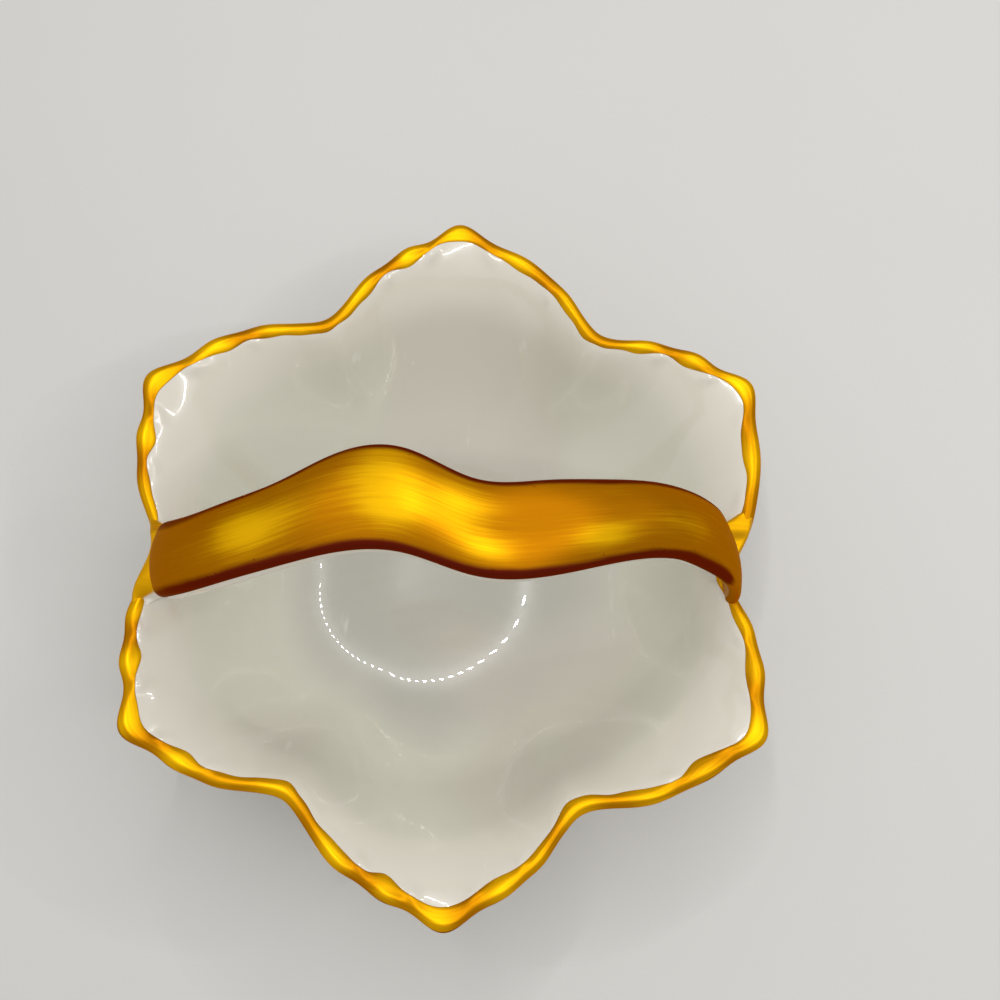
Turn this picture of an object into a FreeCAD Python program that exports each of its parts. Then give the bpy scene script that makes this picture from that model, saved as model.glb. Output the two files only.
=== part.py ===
import FreeCAD, Part
import math
import os

import Sketcher
from FreeCAD import Placement, Rotation, Vector

# A porcelain ring dish in the form of a six-petal basket, in millimetres.
# The origin is on the table, under the middle of the bowl. +Z is up.
# The handle arches along X, and two petals point along +Y and -Y.

DIMENSIONS = {
    # Bowl: the rim's reach at a petal's point and in a valley, the wall, and the curve of its profile.
    "tip_radius": 50.7,
    "valley_radius": 40.2,
    "point_rise": 2.4,
    "ripple_depth": 0.4,
    "bowl_height": 30.0,
    "tip_lift": 1.0,
    "wall": 2.2,
    "floor_thickness": 3.0,
    "well_radius": 8.0,
    "belly_run": 22.0,
    "lip_run": 4.0,
    "lip_drop": 5.0,
    # Foot ring: the clear height under the bowl, and the ring's middle radius, width and draft.
    "foot_height": 1.8,
    "foot_radius": 20.0,
    "foot_width": 2.8,
    "foot_draft": 0.4,
    # Handle strap: the rise of its middle line over its feet, how far its feet stand inside the middle of the
    # rim, its plain width, its thickness and the round of its edges.
    "handle_rise": 30.0,
    "foot_inset": 0.8,
    "strap_width": 10.0,
    "strap_thickness": 4.0,
    "strap_edge": 1.5,
    # Slip saddles that bond the strap's feet to the rim: the bed under a foot, how far the slip runs down the
    # wall in a valley, and how far it stands out round a foot and outside the rim.
    "slip_bed": 0.6,
    "slip_depth": 2.6,
    "slip_reach": 0.4,
    # Gilding: its thickness, its width down each face of the rim in a valley, and the height of the strap's
    # edge that it leaves bare.
    "gilt_thickness": 0.15,
    "gilt_inside": 0.3,
    "gilt_outside": 1.6,
    "gilt_bare": 1.0,
}

# The strap wanders sideways and swells at its bends. Each station has its angle along the arch from the left
# foot in degrees, and its sideways shift and its width as shares of the plain width.
STRAP_STATIONS = [
    (0, -0.17, 1.04), (12, -0.32, 1.03), (24, -0.40, 1.02), (36, -0.41, 1.02), (48, -0.34, 1.03),
    (60, -0.19, 1.10), (72, 0.02, 1.25), (84, 0.0, 1.24), (96, -0.30, 1.07), (108, -0.27, 1.16),
    (120, -0.12, 1.06), (132, 0.02, 0.96), (144, 0.07, 0.91), (156, 0.05, 0.92), (168, 0.03, 0.93),
    (180, 0.03, 0.92),
]
LAST_STATION = len(STRAP_STATIONS) - 1

# Shape of the petals, as pure numbers: counts, powers, the round of a valley and the angle of a point.
PETALS = 6
RIPPLES = 36
PETAL_POWER = 0.55
VALLEY_ROUND = 0.35
POINT_SPREAD = math.radians(4.8)
PETAL_FADE = 2.0
EDGE_FADE = 10.0
FIRST_TIP = math.pi / 2

# Net of the bowl's skin: columns round the rim, steps up the wall and turns over the lip.
COLUMNS = 216
WALL_STEPS = [0.0, 0.05, 0.14, 0.25, 0.38, 0.51, 0.64, 0.77, 0.89, 1.0]
LIP_TURNS = [45, 90, 135]
INSIDE, OUTSIDE = 0, 180
DEGREE = 3

# Points along a saddle's outline, where it follows the rim.
SADDLE_POINTS = 9

# The round of the strap's edges stays under half of its thickness.
EDGE_LIMIT = 0.48

# Expressions over the cells, shared by the pieces that meet.
HALF_SPAN = "(Sizes.valley_radius - Sizes.wall / 2 - Sizes.foot_inset)"
FOOT_LEVEL = "(Sizes.bowl_height - Sizes.tip_lift + Sizes.slip_bed)"
EDGE = f"min(Sizes.strap_edge; {EDGE_LIMIT} * Sizes.strap_thickness)"

# Sketch points: the start, end and centre of an edge, and the sketch's origin and upright axis.
START, END, CENTRE = range(1, 4)
ORIGIN, UPRIGHT = range(-1, -3, -1)


def fill_sheet(doc):
    """Write every driving dimension into the sheet, in a named cell of its own."""
    sheet = doc.addObject("Spreadsheet::Sheet", "Sizes")
    cells = dict(DIMENSIONS)
    for station, (_, shift_share, width_share) in enumerate(STRAP_STATIONS):
        cells[f"strap_shift_{station}"] = f"=strap_width * {shift_share}"
        cells[f"strap_width_{station}"] = f"=strap_width * {width_share}"
    for row, (alias, value) in enumerate(cells.items(), start=1):
        sheet.set(f"A{row}", alias)
        sheet.set(f"B{row}", str(value))
        sheet.setAlias(f"B{row}", alias)
    doc.recompute()
    return sheet


def petal_share(from_tip):
    """How far a petal reaches out, from 0 in a rounded valley along a straight flank to 1 at its tip."""
    swing = math.cos(PETALS / 2 * from_tip)
    here, valley, tip = (math.hypot(part, VALLEY_ROUND) ** PETAL_POWER for part in (swing, 0.0, 1.0))
    return (here - valley) / (tip - valley)


class BowlForm:
    """The bowl's wall as a formula: a middle line that rises with t from 0 at the well to 1 at the lip."""

    def __init__(self, sheet):
        self.size = {name: sheet.get(name) for name in DIMENSIONS}
        size = self.size
        floor_middle = size["foot_height"] + size["floor_thickness"] / 2
        rim_radius = size["valley_radius"] - size["wall"] / 2
        rim_level = size["bowl_height"] - size["tip_lift"] - size["wall"] / 2
        self.profile = [
            (size["well_radius"], floor_middle),
            (size["well_radius"] + size["belly_run"], floor_middle),
            (rim_radius - size["lip_run"], rim_level - size["lip_drop"]),
            (rim_radius, rim_level),
        ]

    def middle(self, t, angle):
        """Radius and height of the wall's middle line."""
        size = self.size
        blend = [(1 - t) ** 3, 3 * t * (1 - t) ** 2, 3 * t ** 2 * (1 - t), t ** 3]
        radius = sum(share * point[0] for share, point in zip(blend, self.profile))
        height = sum(share * point[1] for share, point in zip(blend, self.profile))
        from_tip = angle - FIRST_TIP
        pitch = 2 * math.pi / PETALS
        nearest_tip = (from_tip + pitch / 2) % pitch - pitch / 2
        petal = petal_share(from_tip)
        spread = (size["tip_radius"] - size["valley_radius"] - size["point_rise"]) * petal
        point = size["point_rise"] * math.exp(-(nearest_tip / POINT_SPREAD) ** 2)
        ripple = size["ripple_depth"] * petal * math.cos(RIPPLES * from_tip)
        radius += spread * t ** PETAL_FADE + (point + ripple) * t ** EDGE_FADE
        height += size["tip_lift"] * petal * t ** PETAL_FADE
        return radius, height

    def point(self, t, turn, angle, proud):
        """A point on the wall's face: turn is 0 inside and 180 outside, and goes over the lip between."""
        step = 1e-4
        radius, height = self.middle(t, angle)
        radius_ahead, height_ahead = self.middle(t + step, angle)
        length = math.hypot(radius_ahead - radius, height_ahead - height)
        run, rise = (radius_ahead - radius) / length, (height_ahead - height) / length
        wall, floor_thickness = self.size["wall"], self.size["floor_thickness"]
        reach = (wall + (floor_thickness - wall) * (1 - t) ** 2) / 2 + proud
        across, along = -math.cos(math.radians(turn)), math.sin(math.radians(turn))
        radius += reach * (across * rise + along * run)
        height += reach * (along * rise - across * run)
        return Vector(radius * math.cos(angle), radius * math.sin(angle), height)

    def rows(self):
        """The net's rows, from the well over the lip to the underside, as pairs of t and turn."""
        inner = self.wall_rows(self.lip_step("gilt_inside"))
        outer = self.wall_rows(self.lip_step("gilt_outside"))
        over_lip = [(1.0, turn) for turn in LIP_TURNS]
        return [(t, INSIDE) for t in inner] + over_lip + [(t, OUTSIDE) for t in reversed(outer)]

    def lip_step(self, width):
        """The step up the wall at which gold or slip ends, from its width down the face in a valley."""
        lip_speed = DEGREE * math.hypot(self.size["lip_run"], self.size["lip_drop"])
        return 1 - self.size[width] / lip_speed

    @staticmethod
    def wall_rows(gilt_step):
        """Steps up one face of the wall, with a row at the gilding's edge."""
        bare_top = 2 * gilt_step - 1
        return [step * bare_top for step in WALL_STEPS] + [gilt_step, (1 + gilt_step) / 2, 1.0]

    def skin(self, proud=0.0):
        """The bowl's whole skin as one surface, closed round the rim and open at both of its ends."""
        rows = self.rows()
        angles = [2 * math.pi * (column - 1) / COLUMNS for column in range(COLUMNS)]
        poles = [[self.point(t, turn, angle, proud) for t, turn in rows] for angle in angles]
        spans = len(rows) - DEGREE
        clamped = [DEGREE + 1]
        surface = Part.BSplineSurface()
        surface.buildFromPolesMultsKnots(
            poles, [1] * (COLUMNS + 1), clamped + [1] * (spans - 1) + clamped,
            list(range(COLUMNS + 1)), list(range(spans + 1)), True, False, DEGREE, DEGREE)
        return surface

    def gilt_edges(self):
        """Where the gilding starts inside and ends outside, along the skin's rows."""
        rows = self.rows()
        inner_row = rows.index((self.lip_step("gilt_inside"), INSIDE))
        outer_row = rows.index((self.lip_step("gilt_outside"), OUTSIDE))
        return inner_row - 1, outer_row - 1

    def reach_beside(self, y, side, t, beyond):
        """How far out along X the wall's middle line is beside a place on Y, with a reach beyond it."""
        x = self.size["valley_radius"]
        for _ in range(30):
            radius = self.middle(t, math.atan2(y, side * x))[0] + beyond
            x = math.sqrt(radius ** 2 - y ** 2)
        return x

    def middle_height(self, radius):
        """Height of the wall's middle line at a radius, in the line of a valley."""
        low, high = 0.0, 1.0
        for _ in range(40):
            t = (low + high) / 2
            if self.middle(t, 0.0)[0] < radius:
                low = t
            else:
                high = t
        return self.middle(low, 0.0)[1]


def solid_from_faces(faces):
    shell = Part.Shell(faces)
    shell.sewShape()
    solid = Part.Solid(shell)
    if solid.Volume < 0:
        solid.reverse()
    return solid


def add_feature(doc, label, shape):
    feature = doc.addObject("Part::Feature", label)
    feature.Label = label
    feature.Shape = shape
    feature.Placement = Placement()
    return feature


def add_body(doc, label):
    body = doc.addObject("PartDesign::Body", label)
    body.Label = label
    return body


def add_cut(doc, label, base, tool):
    cut = doc.addObject("Part::Cut", label)
    cut.Label = label
    cut.Base = base
    cut.Tool = tool
    return cut


def add_sketch(body, role):
    """A sketch on one of the body's own origin planes."""
    plane = next(feature for feature in body.Origin.OriginFeatures if feature.Role == role)
    sketch = body.newObject("Sketcher::SketchObject", f"{body.Name}_sketch")
    sketch.AttachmentSupport = [(plane, "")]
    sketch.MapMode = "FlatFace"
    return sketch


def constrain(sketch, *definition):
    return sketch.addConstraint(Sketcher.Constraint(*definition))


def dimension(sketch, name, expression, *definition):
    """A driving constraint whose value follows an expression over the cells."""
    index = constrain(sketch, *definition)
    sketch.renameConstraint(index, name)
    sketch.setExpression(f"Constraints.{name}", expression)


def add_loft(body, sketches):
    loft = body.newObject("PartDesign::AdditiveLoft", f"{body.Name}_loft")
    loft.Profile = sketches[0]
    loft.Sections = sketches[1:]
    return loft


def arc(centre, radius, start, end):
    """An arc that runs counterclockwise from one point to another."""
    first, last = ((point - centre) for point in (start, end))
    circle = Part.Circle(centre, Vector(0, 0, 1), radius)
    return Part.ArcOfCircle(circle, math.atan2(first.y, first.x), math.atan2(last.y, last.x))


def strip(first, second):
    """A narrow face ruled between two curves of the same make."""
    poles = [list(pair) for pair in zip(first.getPoles(), second.getPoles())]
    surface = Part.BSplineSurface()
    surface.buildFromPolesMultsKnots(
        poles, first.getMultiplicities(), [2, 2], first.getKnots(), [0, 1], False, False, DEGREE, 1)
    return surface.toShape()


def dish_bowl(doc, form):
    """Six-petal bowl: one skin from the well over the lip to the underside, closed by two flat discs."""
    skin = form.skin()
    last_row = skin.bounds()[3]
    discs = [Part.Face(Part.Wire(skin.vIso(row).toShape())) for row in (0.0, last_row)]
    return add_feature(doc, "dish_bowl", solid_from_faces([skin.toShape()] + discs))


def rim_gilding(doc, form, label, first_column, saddles):
    """A gold band over half of the lip, laid on the bowl's own skin and ended at the saddles' ends."""
    span = (first_column, first_column + COLUMNS / 2)
    edges = form.gilt_edges()
    layers = [form.skin(proud) for proud in (0.0, form.size["gilt_thickness"])]
    for layer in layers:
        layer.segment(*span, *edges)
    under, over = layers
    sides = [strip(under.uIso(end), over.uIso(end)) for end in span]
    sides += [strip(under.vIso(edge), over.vIso(edge)) for edge in edges]
    band = add_feature(doc, f"{label}_blank", solid_from_faces([under.toShape(), over.toShape()] + sides))
    gaps = [add_feature(doc, f"{label}_gap", saddle.gap()) for saddle in saddles]
    return add_cut(doc, label, add_cut(doc, f"{label}_left_end", band, gaps[0]), gaps[1])


def foot_ring(doc, form, bowl):
    """Turned ring under the bowl: a drafted section, spun round and cut to the bowl's underside."""
    radius, width, draft = (form.size[name] for name in ("foot_radius", "foot_width", "foot_draft"))
    inner, outer = radius - width / 2, radius + width / 2
    corners = [
        Vector(inner + draft, 0, 0),
        Vector(outer - draft, 0, 0),
        Vector(outer, form.middle_height(outer), 0),
        Vector(inner, form.middle_height(inner), 0),
    ]
    body = add_body(doc, "foot_ring_blank")
    sketch = add_sketch(body, "XZ_Plane")
    for corner, following in zip(corners, corners[1:] + corners[:1]):
        sketch.addGeometry(Part.LineSegment(corner, following))
    for edge in range(4):
        constrain(sketch, "Coincident", edge, END, (edge + 1) % 4, START)
    constrain(sketch, "PointOnObject", 0, START, ORIGIN)
    constrain(sketch, "Horizontal", 0)
    inner_wall = "Sizes.foot_radius - Sizes.foot_width / 2"
    outer_wall = "Sizes.foot_radius + Sizes.foot_width / 2"
    for name, edge, expression, value in (
        ("bottom_inner", 0, f"{inner_wall} + Sizes.foot_draft", corners[0].x),
        ("bottom_outer", 1, f"{outer_wall} - Sizes.foot_draft", corners[1].x),
        ("top_outer", 2, outer_wall, corners[2].x),
        ("top_inner", 3, inner_wall, corners[3].x),
    ):
        dimension(sketch, name, expression, "DistanceX", ORIGIN, START, edge, START, value)
    for edge in (2, 3):
        constrain(sketch, "DistanceY", ORIGIN, START, edge, START, corners[edge].y)
    ring = body.newObject("PartDesign::Revolution", "foot_ring_turned")
    ring.Profile = sketch
    ring.ReferenceAxis = (sketch, ["V_Axis"])
    ring.Angle = 360
    return add_cut(doc, "foot_ring", body, bowl)


class StrapSection:
    """The strap's section at one station: flat underneath, rounded edges and a crowned top."""

    def __init__(self, sheet, station):
        self.station = station
        self.turn = f"{STRAP_STATIONS[station][0]} deg"
        width = sheet.get(f"strap_width_{station}")
        self.thickness = sheet.get("strap_thickness")
        self.edge = min(sheet.get("strap_edge"), EDGE_LIMIT * self.thickness)
        self.half_flat = width / 2 - self.edge
        rise = self.edge - self.thickness
        room = 2 * (self.thickness - 2 * self.edge)
        self.crown = (self.half_flat ** 2 + rise ** 2 - self.edge ** 2) / room
        self.half_flat_cell = f"(Sizes.strap_width_{station} / 2 - {EDGE})"
        self.crown_cell = (f"({self.half_flat_cell}^2 + ({EDGE} - Sizes.strap_thickness)^2 - {EDGE}^2)"
                           f" / (2 * (Sizes.strap_thickness - 2 * {EDGE}))")

    def sketch(self, body):
        """An empty sketch square to the arch at this station, turned about its own X axis."""
        sketch = add_sketch(body, "YZ_Plane")
        sketch.AttachmentOffset = Placement(Vector(), Rotation(Vector(1, 0, 0), 90))
        level = f"{FOOT_LEVEL} + Sizes.handle_rise * sin({self.turn})"
        sketch.setExpression("AttachmentOffset.Base.x", f"Sizes.strap_shift_{self.station}")
        sketch.setExpression("AttachmentOffset.Base.y", level)
        sketch.setExpression("AttachmentOffset.Base.z", f"-{HALF_SPAN} * cos({self.turn})")
        sketch.setExpression(
            "AttachmentOffset.Rotation.Angle",
            f"atan2(-Sizes.handle_rise * cos({self.turn}); {HALF_SPAN} * sin({self.turn}))")
        return sketch

    def draw(self, sketch, proud, base_left, base_right):
        """Base line, right edge, crown and left edge, each grown by a thickness of gold."""
        level = self.edge - self.thickness / 2
        right, left = Vector(self.half_flat, level, 0), Vector(-self.half_flat, level, 0)
        crown_centre = Vector(0, self.thickness / 2 - self.crown, 0)
        crown_radius = self.crown + proud
        shoulders = [crown_centre + (centre - crown_centre).normalize() * crown_radius
                     for centre in (right, left)]
        sketch.addGeometry(Part.LineSegment(base_left, base_right))
        sketch.addGeometry(arc(right, self.edge + proud, base_right, shoulders[0]))
        sketch.addGeometry(arc(crown_centre, crown_radius, *shoulders))
        sketch.addGeometry(arc(left, self.edge + proud, shoulders[1], base_left))
        for edge in (1, 2):
            constrain(sketch, "Tangent", edge, END, edge + 1, START)

    def bare(self, body):
        """The porcelain section, smooth all round."""
        sketch = self.sketch(body)
        underside = -self.thickness / 2
        self.draw(sketch, 0.0, Vector(-self.half_flat, underside, 0), Vector(self.half_flat, underside, 0))
        constrain(sketch, "Tangent", 0, END, 1, START)
        constrain(sketch, "Tangent", 3, END, 0, START)
        constrain(sketch, "Symmetric", 0, START, 0, END, UPRIGHT)
        dimension(sketch, "right_edge", EDGE, "Radius", 1, self.edge)
        dimension(sketch, "left_edge", EDGE, "Radius", 3, self.edge)
        dimension(sketch, "crown", self.crown_cell, "Radius", 2, self.crown)
        dimension(sketch, "flat", f"2 * {self.half_flat_cell}",
                  "DistanceX", 0, START, 0, END, 2 * self.half_flat)
        dimension(sketch, "half", "Sizes.strap_thickness / 2",
                  "DistanceY", 0, START, ORIGIN, START, self.thickness / 2)
        return sketch

    def gilded(self, body, gilt, bare):
        """The section that the gold fills out: the crown and the edges, down to the bare underside."""
        sketch = self.sketch(body)
        level = bare - self.thickness / 2
        half_base = self.half_flat + math.sqrt((self.edge + gilt) ** 2 - (self.edge - bare) ** 2)
        self.draw(sketch, gilt, Vector(-half_base, level, 0), Vector(half_base, level, 0))
        constrain(sketch, "Coincident", 0, END, 1, START)
        constrain(sketch, "Coincident", 3, END, 0, START)
        constrain(sketch, "Horizontal", 0)
        constrain(sketch, "Symmetric", 1, CENTRE, 3, CENTRE, UPRIGHT)
        gilt_edge = f"{EDGE} + Sizes.gilt_thickness"
        gilt_crown = f"{self.crown_cell} + Sizes.gilt_thickness"
        dimension(sketch, "right_edge", gilt_edge, "Radius", 1, self.edge + gilt)
        dimension(sketch, "left_edge", gilt_edge, "Radius", 3, self.edge + gilt)
        dimension(sketch, "crown", gilt_crown, "Radius", 2, self.crown + gilt)
        dimension(sketch, "flat", f"2 * {self.half_flat_cell}",
                  "DistanceX", 3, CENTRE, 1, CENTRE, 2 * self.half_flat)
        dimension(sketch, "edge_level", f"Sizes.strap_thickness / 2 - {EDGE}",
                  "DistanceY", 1, CENTRE, ORIGIN, START, self.thickness / 2 - self.edge)
        dimension(sketch, "base_level", "Sizes.strap_thickness / 2 - Sizes.gilt_bare",
                  "DistanceY", 0, START, ORIGIN, START, self.thickness / 2 - bare)
        return sketch


def handle_strap(doc, sections):
    """Hand-shaped strap: a loft through its sections, with flat ends that stand on the saddles."""
    body = add_body(doc, "handle_strap")
    add_loft(body, [section.bare(body) for section in sections])
    return body


def handle_gilding(doc, form, sections, strap):
    """Gold on the strap's top and edges: the gilded loft with the strap taken out of it."""
    blank = add_body(doc, "handle_gilding_blank")
    gilt, bare = form.size["gilt_thickness"], form.size["gilt_bare"]
    add_loft(blank, [section.gilded(blank, gilt, bare) for section in sections])
    return add_cut(doc, "handle_gilding", blank, strap)


class Saddle:
    """Slip under one strap foot. It covers the rim between two ends, and runs down both faces of the wall."""

    def __init__(self, sheet, form, side, station):
        self.form = form
        self.side = side
        size = form.size
        shift = sheet.get(f"strap_shift_{station}")
        half = sheet.get(f"strap_width_{station}") / 2 + size["slip_reach"]
        self.first, self.last = shift - half, shift + half
        share = 1 / (SADDLE_POINTS - 1)
        self.places = [self.first + 2 * half * share * point for point in range(SADDLE_POINTS)]

    def outline(self, level, inner, outer):
        """A level plan of it, from its reach inside and outside at each place along the rim."""
        edges, sides = [], []
        for reach in (inner, outer):
            points = [Vector(self.side * x, y, level) for x, y in zip(reach, self.places)]
            sides.append(points)
            curve = Part.BSplineCurve()
            curve.interpolate(points)
            edges.append(curve.toShape())
        ends = [Part.makeLine(sides[0][end], sides[1][end]) for end in (0, -1)]
        return Part.Wire(Part.__sortEdges__(edges + ends))

    def blank(self):
        """Its shape before the rim is taken out: wide at the foot and at the lip, and thin in the wall."""
        form, size = self.form, self.form.size
        low_step = form.lip_step("slip_depth")
        foot_level = size["bowl_height"] - size["tip_lift"] + size["slip_bed"]
        lip_level, low_level = form.middle(1.0, 0.0)[1], form.middle(low_step, 0.0)[1]
        foot_middle = size["valley_radius"] - size["wall"] / 2 - size["foot_inset"]
        foot_inside = foot_middle - size["strap_thickness"] / 2 - size["slip_reach"]
        lip_reach = size["wall"] / 2 + size["gilt_thickness"] + size["slip_reach"]
        outside = [form.reach_beside(y, self.side, 1.0, lip_reach) for y in self.places]
        low_reach = size["wall"] / 4
        low_inside, low_outside = (
            [form.reach_beside(y, self.side, low_step, beyond) for y in self.places]
            for beyond in (-low_reach, low_reach))
        foot_share = (lip_level - low_level) / (foot_level - low_level)
        lip_inside = [foot_share * foot_inside + (1 - foot_share) * low for low in low_inside]
        plans = [
            self.outline(foot_level, [foot_inside] * SADDLE_POINTS, outside),
            self.outline(lip_level, lip_inside, outside),
            self.outline(low_level, low_inside, low_outside),
        ]
        return Part.makeLoft(plans, True, True)

    def gap(self):
        """A block over the stretch of rim that the slip covers."""
        length, height = (2 * self.form.size[name] for name in ("tip_radius", "bowl_height"))
        corner = Vector(min(0, self.side * length), self.first, 0)
        return Part.makeBox(length, self.last - self.first, height, corner)


def build(doc):
    """Make every sub-part and return them, each with its own label."""
    sheet = fill_sheet(doc)
    form = BowlForm(sheet)
    bowl = dish_bowl(doc, form)
    sections = [StrapSection(sheet, station) for station in range(LAST_STATION + 1)]
    strap = handle_strap(doc, sections)
    saddles = [Saddle(sheet, form, -1, 0), Saddle(sheet, form, 1, LAST_STATION)]
    left_slip, right_slip = (add_feature(doc, "slip", saddle.blank()) for saddle in saddles)
    return [
        bowl,
        foot_ring(doc, form, bowl),
        strap,
        handle_gilding(doc, form, sections, strap),
        add_cut(doc, "left_handle_joint", left_slip, bowl),
        add_cut(doc, "right_handle_joint", right_slip, bowl),
        rim_gilding(doc, form, "back_rim_gilding", 0, saddles),
        rim_gilding(doc, form, "front_rim_gilding", COLUMNS / 2, saddles),
    ]


def check(doc, parts):
    """Stop before anything is written if an object failed or a shape is empty or not valid."""
    for item in doc.Objects:
        if {"Invalid", "Error"} & set(item.State):
            raise RuntimeError(f"{item.Label} is {item.State}")
    for part in parts:
        if part.Shape.isNull() or not part.Shape.isValid() or len(part.Shape.Solids) != 1:
            raise RuntimeError(f"{part.Label} is not one valid solid")


def main():
    doc = FreeCAD.newDocument("ring_dish")
    parts = build(doc)
    doc.recompute()
    check(doc, parts)
    os.makedirs("parts", exist_ok=True)
    for part in parts:
        part.Shape.exportStep(f"parts/{part.Label}.step")
        print(f"{part.Label}: {part.Shape.Volume:.0f} mm3")


main()
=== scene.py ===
# %% [markdown]
# # A gilded porcelain ring dish
# This lesson dresses a CAD model of a small porcelain dish: a bowl with six petals, a gilded rim, and a
# wavy strap handle that is gilded on top. The CAD model is loaded first and stays put. Every piece made
# below stands where one of its solids stands, in metres, with the table at height zero.

# %% Load the frame
import math

import bpy
import numpy as np
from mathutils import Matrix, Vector


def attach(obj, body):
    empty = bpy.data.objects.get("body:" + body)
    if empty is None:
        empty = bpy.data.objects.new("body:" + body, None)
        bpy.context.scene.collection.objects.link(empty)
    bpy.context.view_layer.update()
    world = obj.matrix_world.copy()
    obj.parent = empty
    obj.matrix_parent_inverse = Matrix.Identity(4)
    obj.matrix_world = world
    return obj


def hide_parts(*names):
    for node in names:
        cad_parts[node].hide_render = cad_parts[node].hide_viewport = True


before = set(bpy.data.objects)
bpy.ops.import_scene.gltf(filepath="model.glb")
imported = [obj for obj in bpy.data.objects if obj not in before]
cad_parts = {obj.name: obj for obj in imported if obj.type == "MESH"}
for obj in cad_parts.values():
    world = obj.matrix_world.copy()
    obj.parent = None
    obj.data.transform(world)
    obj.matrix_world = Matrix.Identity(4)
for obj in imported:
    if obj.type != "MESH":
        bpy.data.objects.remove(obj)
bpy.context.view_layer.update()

print("CAD nodes:", sorted(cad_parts))

# %% [markdown]
# ## Sizes
# The dish is drawn from a handful of real sizes, written in millimetres and turned into metres once.
# They are the ones that the CAD model was built from, so the porcelain here has the same walls. Only
# the points of the petals are 0.1 mm shorter, because the scallops swell them again, and the lip flares
# and dips a little.
#
# Hand and kiln leave no dish quite even, so the last lists bend this one: how much each tip is short of
# its place and how far it is turned, and how far each valley is pushed out and turned. They start at
# the back tip and go round anticlockwise, and each valley follows its tip.

# %% Sizes of the dish
MM = 0.001
TIP_RADIUS, VALLEY_RADIUS = 50.6 * MM, 40.2 * MM
POINT_RISE = 2.3 * MM
BOWL_HEIGHT, TIP_LIFT = 30.0 * MM, 1.0 * MM
WALL, FLOOR_THICKNESS = 2.2 * MM, 3.0 * MM
WELL_RADIUS, BELLY_RUN = 8.0 * MM, 22.0 * MM
LIP_RUN, LIP_DROP = 4.0 * MM, 5.0 * MM
FOOT_HEIGHT, FOOT_RADIUS, FOOT_WIDTH = 1.8 * MM, 20.0 * MM, 2.8 * MM
HANDLE_RISE, FOOT_INSET = 30.0 * MM, 0.8 * MM
STRAP_PLAIN_WIDTH, STRAP_THICKNESS, STRAP_EDGE = 10.0 * MM, 4.0 * MM, 1.5 * MM
SLIP_BED = 0.6 * MM
GILT = 0.15 * MM
PETALS, RIPPLES = 6, 36
PETAL_POWER, PETAL_FADE, EDGE_FADE = 0.55, 2.0, 10.0
VALLEY_ROUND = 0.35
POINT_SPREAD = math.radians(4.8)
LIP_FLARE, FLARE_FADE = 0.7 * MM, 14.0
PETAL_SHORT = np.array([0.05, -0.5, 0.1, 0.05, -0.25, -0.6]) * MM
PETAL_TURN = np.radians([-0.6, 0.7, 0.9, 1.5, 0.7, 0.8])
VALLEY_OUT = np.array([0.0, 1.3, 0.0, 0.1, 0.3, 0.2]) * MM
VALLEY_TURN = np.radians([-1.5, 0.0, -1.5, -1.0, -3.0, -2.5])
FIRST_TIP = math.pi / 2
print("bowl", round(2 * TIP_RADIUS / MM, 1), "mm from tip to tip")

# %% [markdown]
# ## The wall as a formula
# A dish like this is slip cast in a mould, so its wall is one smooth sheet. Modelling it by hand with
# loop cuts would be slow to change. A formula is exact: a curve that rises from the flat well to the
# lip, pushed outwards more at a petal's tip than in a valley.

# %% The middle of the wall
PITCH = 2 * math.pi / PETALS
FLOOR_MIDDLE = FOOT_HEIGHT + FLOOR_THICKNESS / 2
RIM_MIDDLE = VALLEY_RADIUS - WALL / 2
RIM_LEVEL = BOWL_HEIGHT - TIP_LIFT - WALL / 2
PROFILE = [
    (WELL_RADIUS, FLOOR_MIDDLE),
    (WELL_RADIUS + BELLY_RUN, FLOOR_MIDDLE),
    (RIM_MIDDLE - LIP_RUN, RIM_LEVEL - LIP_DROP),
    (RIM_MIDDLE, RIM_LEVEL),
]


def petal_share(angle):
    """How far a petal reaches out, from 0 in a rounded valley along a straight flank to 1 at its tip."""
    swing = np.cos(PETALS / 2 * (angle - FIRST_TIP))
    here, valley, tip = (np.hypot(part, VALLEY_ROUND) ** PETAL_POWER for part in (swing, 0.0, 1.0))
    return (here - valley) / (tip - valley)


def petal_angle(angle):
    """The angle within an even dish, and how much further out than there the rim is."""
    tips = (angle - FIRST_TIP) / PITCH
    inside = np.cos(math.pi * (tips - np.round(tips))) ** 2
    petal, valley = np.round(tips).astype(int) % PETALS, np.floor(tips).astype(int) % PETALS
    turned = PETAL_TURN[petal] * inside + VALLEY_TURN[valley] * (1 - inside)
    return angle - turned, VALLEY_OUT[valley] * (1 - inside) - PETAL_SHORT[petal] * inside


def middle_line(t, angle):
    """Radius and height of the middle of the wall, with t from 0 at the well to 1 at the lip."""
    blend = [(1 - t) ** 3, 3 * t * (1 - t) ** 2, 3 * t ** 2 * (1 - t), t ** 3]
    radius = sum(share * corner[0] for share, corner in zip(blend, PROFILE))
    height = sum(share * corner[1] for share, corner in zip(blend, PROFILE))
    even_angle, further = petal_angle(angle)
    nearest_tip = (even_angle - FIRST_TIP + PITCH / 2) % PITCH - PITCH / 2
    petal = petal_share(even_angle)
    spread = (TIP_RADIUS - VALLEY_RADIUS - POINT_RISE) * petal + further
    point = POINT_RISE * np.exp(-(nearest_tip / POINT_SPREAD) ** 2)
    radius = radius + spread * t ** PETAL_FADE + point * t ** EDGE_FADE
    return radius, height + TIP_LIFT * petal * t ** PETAL_FADE - LIP_FLARE * t ** FLARE_FADE


print("rim level", round(RIM_LEVEL / MM, 2), "mm")

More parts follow.
